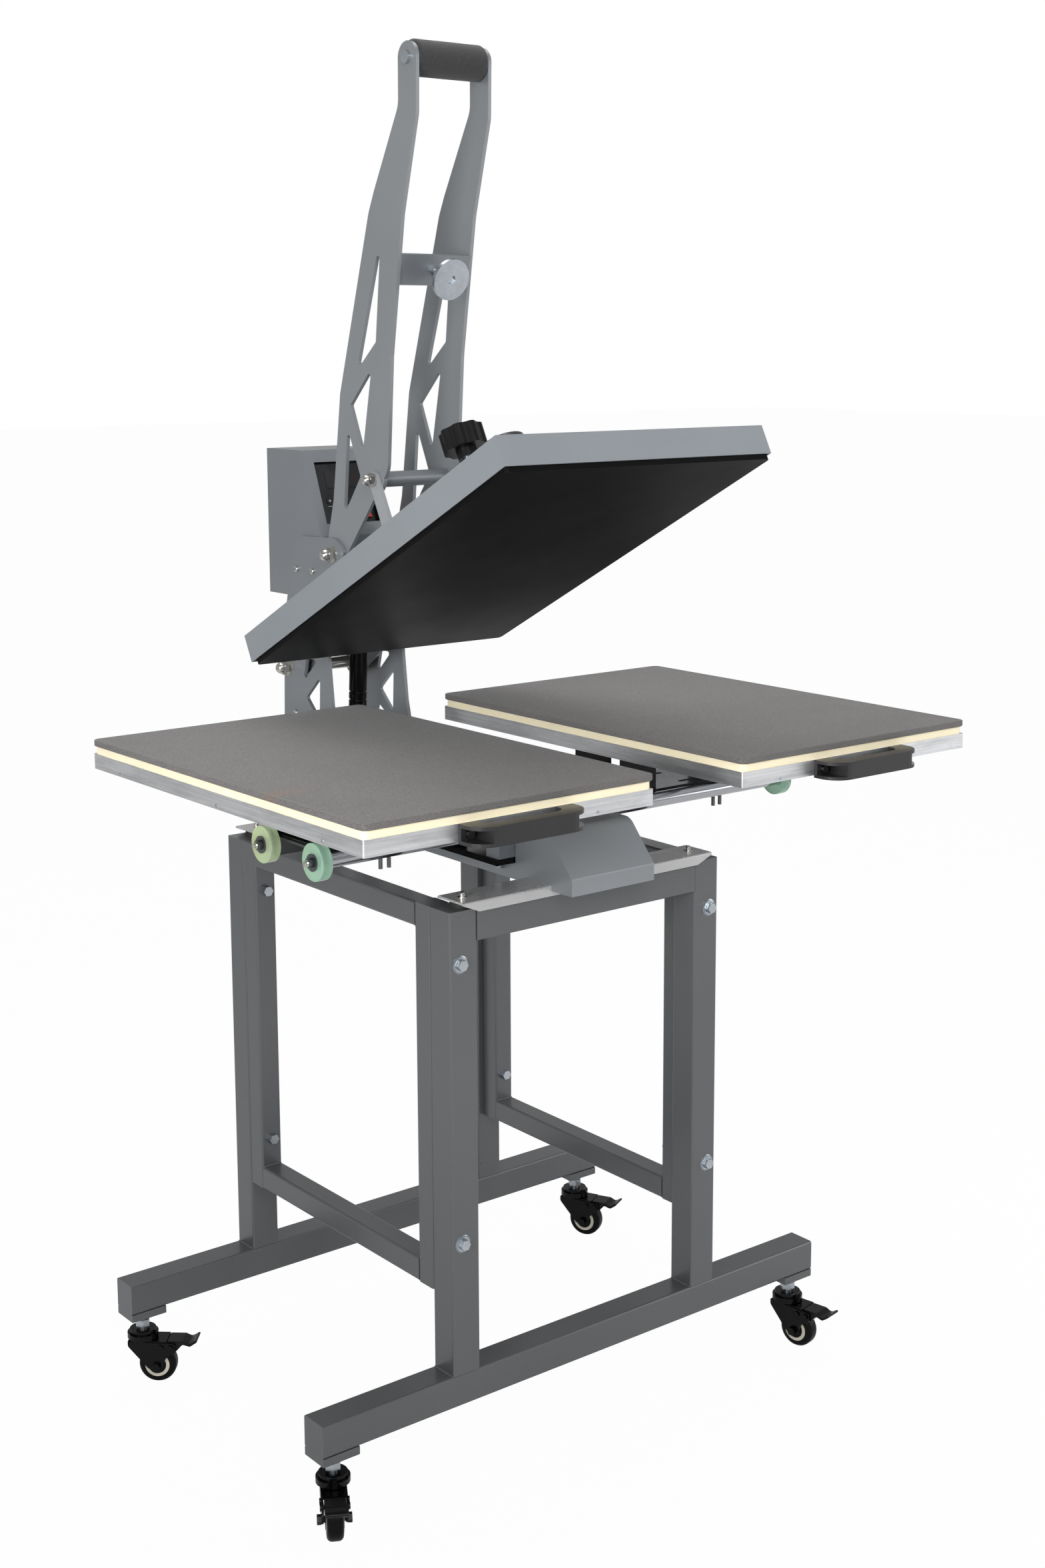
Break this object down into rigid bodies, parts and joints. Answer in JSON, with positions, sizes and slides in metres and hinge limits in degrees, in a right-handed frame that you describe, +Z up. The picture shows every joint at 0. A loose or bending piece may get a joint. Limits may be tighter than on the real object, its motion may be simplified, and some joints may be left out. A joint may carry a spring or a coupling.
{
  "type": "dual station heat press",
  "caption": "Wheeled dual station heat press with a lever-operated tilting heat platen, a sliding pair of padded lower platens and a control box.",
  "frame": {"origin": "on the floor, under the middle of the four legs of the stand", "axes": "+X to the operator's right, +Y to the back, where the tower stands, +Z up"},
  "size_m": [0.937, 0.8252, 1.7365],
  "materials": {
    "stand_paint": "semi-gloss metallic grey powder coat",
    "body_paint": "fine-textured mid-grey powder coat",
    "head_paint": "smooth light grey powder coat",
    "link_paint": "light grey powder coat",
    "black_paint": "glossy black paint",
    "dark_steel": "oiled dark steel",
    "zinc_steel": "zinc-plated",
    "yellow_zinc": "yellow zinc-plated",
    "chrome": "hard chrome",
    "aluminium": "extruded, lightly scuffed",
    "coated_aluminium": "black non-stick coating",
    "black_plastic": "fine matte grain",
    "black_panel": "glossy black",
    "red_plastic": "glossy red",
    "black_rubber": "matte",
    "foam_rubber": "soft closed-cell foam",
    "sponge": "porous grey silicone sponge",
    "silicone": "cream silicone sheet",
    "tyre": "matte black tread",
    "polyurethane": "translucent green cast polyurethane"
  },
  "bodies": {
    "stand": {"front_frame": "stand_paint", "rear_frame": "stand_paint", "side_frames": "stand_paint", "frame_bolts": "zinc_steel", "rubber_mounts": "black_rubber", "cross_channels": "stand_paint", "base_box": "body_paint", "base_screws": "zinc_steel", "bearing_plate": "black_paint", "bearing_blocks": "body_paint", "tower_left": "body_paint", "tower_right": "body_paint", "tower_shafts": "zinc_steel", "pivot_discs": "yellow_zinc", "control_box": "body_paint", "control_panel": "black_panel", "caster_stems": "zinc_steel", "heater_cable": "black_rubber"},
    "rocker": {"rocker_switch": "red_plastic"},
    "yoke": {"yoke": "body_paint", "holding_magnet": "dark_steel"},
    "platen": {"head_cover": "head_paint", "heat_platen": "coated_aluminium", "pressure_bridge": "body_paint"},
    "knob": {"pressure_knob": "black_plastic", "pressure_screw": "zinc_steel"},
    "arm": {"arm_left": "body_paint", "arm_right": "body_paint", "cross_plate": "body_paint", "armature_disc": "zinc_steel", "toggle_shaft": "zinc_steel", "grip_tube": "zinc_steel", "foam_grip": "foam_rubber"},
    "link": {"links": "link_paint", "float_pin": "zinc_steel"},
    "gas_cylinder": {"gas_cylinder": "black_paint"},
    "gas_rod": {"gas_rod": "chrome"},
    "carriage": {"slide_channel": "black_paint", "slide_rods": "dark_steel", "stop_discs": "polyurethane", "carriage_screws": "dark_steel", "tray_brackets": "black_paint", "trays": "aluminium", "silicone_layers": "silicone", "pads": "sponge", "tray_handles": "black_plastic"},
    "caster_front_left": {"fork_front_left": "black_paint"},
    "roller_front_left": {"wheel_front_left": "tyre"},
    "pedal_front_left": {"brake_front_left": "black_plastic"},
    "caster_front_right": {"fork_front_right": "black_paint"},
    "roller_front_right": {"wheel_front_right": "tyre"},
    "pedal_front_right": {"brake_front_right": "black_plastic"},
    "caster_rear_left": {"fork_rear_left": "black_paint"},
    "roller_rear_left": {"wheel_rear_left": "tyre"},
    "pedal_rear_left": {"brake_rear_left": "black_plastic"},
    "caster_rear_right": {"fork_rear_right": "black_paint"},
    "roller_rear_right": {"wheel_rear_right": "tyre"},
    "pedal_rear_right": {"brake_rear_right": "black_plastic"}
  },
  "joints": [
    {"name": "arm_swing", "type": "hinge", "parent": "stand", "child": "arm", "pos_m": [0, 0.213, 1.088], "axis": [1, 0, 0], "range_deg": [0, 71]},
    {"name": "head_tilt", "type": "hinge", "parent": "stand", "child": "yoke", "pos_m": [0, 0.331, 0.9215], "axis": [1, 0, 0], "range_deg": [0, 27.2], "stiffness_Nm_per_rad": 84, "springref_deg": -76.78},
    {"name": "link_swing", "type": "hinge", "parent": "arm", "child": "link", "pos_m": [0, 0.112, 1.193], "axis": [1, 0, 0], "range_deg": [-98, 0]},
    {"name": "gas_spring_turn", "type": "hinge", "parent": "yoke", "child": "gas_cylinder", "pos_m": [0, 0.246, 0.97], "axis": [1, 0, 0], "range_deg": [-22, 0]},
    {"name": "gas_spring_stroke", "type": "slide", "parent": "gas_cylinder", "child": "gas_rod", "axis": [0, -0.0618, 0.9981], "range_m": [0, 0.0427]},
    {"name": "platen_lift", "type": "slide", "parent": "yoke", "child": "platen", "axis": [0, 0.4571, 0.8894], "range_m": [-0.004, 0.004]},
    {"name": "knob_turn", "type": "hinge", "parent": "platen", "child": "knob", "pos_m": [0, -0.03026, 1.18609], "axis": [0, 0.4571, 0.8894], "range_deg": [-720, 720]},
    {"name": "carriage_slide", "type": "slide", "parent": "stand", "child": "carriage", "axis": [1, 0, 0], "range_m": [-0.301, 0.236]},
    {"name": "rocker_tip", "type": "hinge", "parent": "stand", "child": "rocker", "pos_m": [0.028, 0.26619, 1.13747], "axis": [1, 0, 0], "range_deg": [0, 14]},
    {"name": "swivel_front_left", "type": "hinge", "parent": "stand", "child": "caster_front_left", "pos_m": [-0.374, -0.231, 0.06], "axis": [0, 0, 1], "continuous": true},
    {"name": "roll_front_left", "type": "hinge", "parent": "caster_front_left", "child": "roller_front_left", "pos_m": [-0.384, -0.24832, 0.025], "axis": [0.866, -0.5, 0], "continuous": true},
    {"name": "brake_front_left_tip", "type": "hinge", "parent": "caster_front_left", "child": "pedal_front_left", "pos_m": [-0.39375, -0.26521, 0.051], "axis": [0.866, -0.5, 0], "range_deg": [0, 10]},
    {"name": "swivel_front_right", "type": "hinge", "parent": "stand", "child": "caster_front_right", "pos_m": [0.374, -0.231, 0.06], "axis": [0, 0, 1], "continuous": true},
    {"name": "roll_front_right", "type": "hinge", "parent": "caster_front_right", "child": "roller_front_right", "pos_m": [0.37782, -0.25063, 0.025], "axis": [0.9816, 0.1908, 0], "continuous": true},
    {"name": "brake_front_right_tip", "type": "hinge", "parent": "caster_front_right", "child": "pedal_front_right", "pos_m": [0.38154, -0.26977, 0.051], "axis": [0.9816, 0.1908, 0], "range_deg": [0, 10]},
    {"name": "swivel_rear_left", "type": "hinge", "parent": "stand", "child": "caster_rear_left", "pos_m": [-0.374, 0.231, 0.06], "axis": [0, 0, 1], "continuous": true},
    {"name": "roll_rear_left", "type": "hinge", "parent": "caster_rear_left", "child": "roller_rear_left", "pos_m": [-0.35891, 0.21788, 0.025], "axis": [0.6561, 0.7547, 0], "continuous": true},
    {"name": "brake_rear_left_tip", "type": "hinge", "parent": "caster_rear_left", "child": "pedal_rear_left", "pos_m": [-0.34419, 0.20509, 0.051], "axis": [0.6561, 0.7547, 0], "range_deg": [0, 10]},
    {"name": "swivel_rear_right", "type": "hinge", "parent": "stand", "child": "caster_rear_right", "pos_m": [0.374, 0.231, 0.06], "axis": [0, 0, 1], "continuous": true},
    {"name": "roll_rear_right", "type": "hinge", "parent": "caster_rear_right", "child": "roller_rear_right", "pos_m": [0.38308, 0.21318, 0.025], "axis": [0.891, 0.454, 0], "continuous": true},
    {"name": "brake_rear_right_tip", "type": "hinge", "parent": "caster_rear_right", "child": "pedal_rear_right", "pos_m": [0.39193, 0.19581, 0.051], "axis": [0.891, 0.454, 0], "range_deg": [0, 10]}
  ],
  "couplings": [
    {"joint": "head_tilt", "follows": "arm_swing", "ratio": 0.383},
    {"joint": "link_swing", "follows": "arm_swing", "ratio": -1.38},
    {"joint": "gas_spring_turn", "follows": "arm_swing", "ratio": -0.3086},
    {"joint": "gas_spring_stroke", "follows": "arm_swing", "m_per_rad": 0.0344},
    {"joint": "knob_turn", "follows": "platen_lift", "rad_per_m": 3141.6}
  ]
}
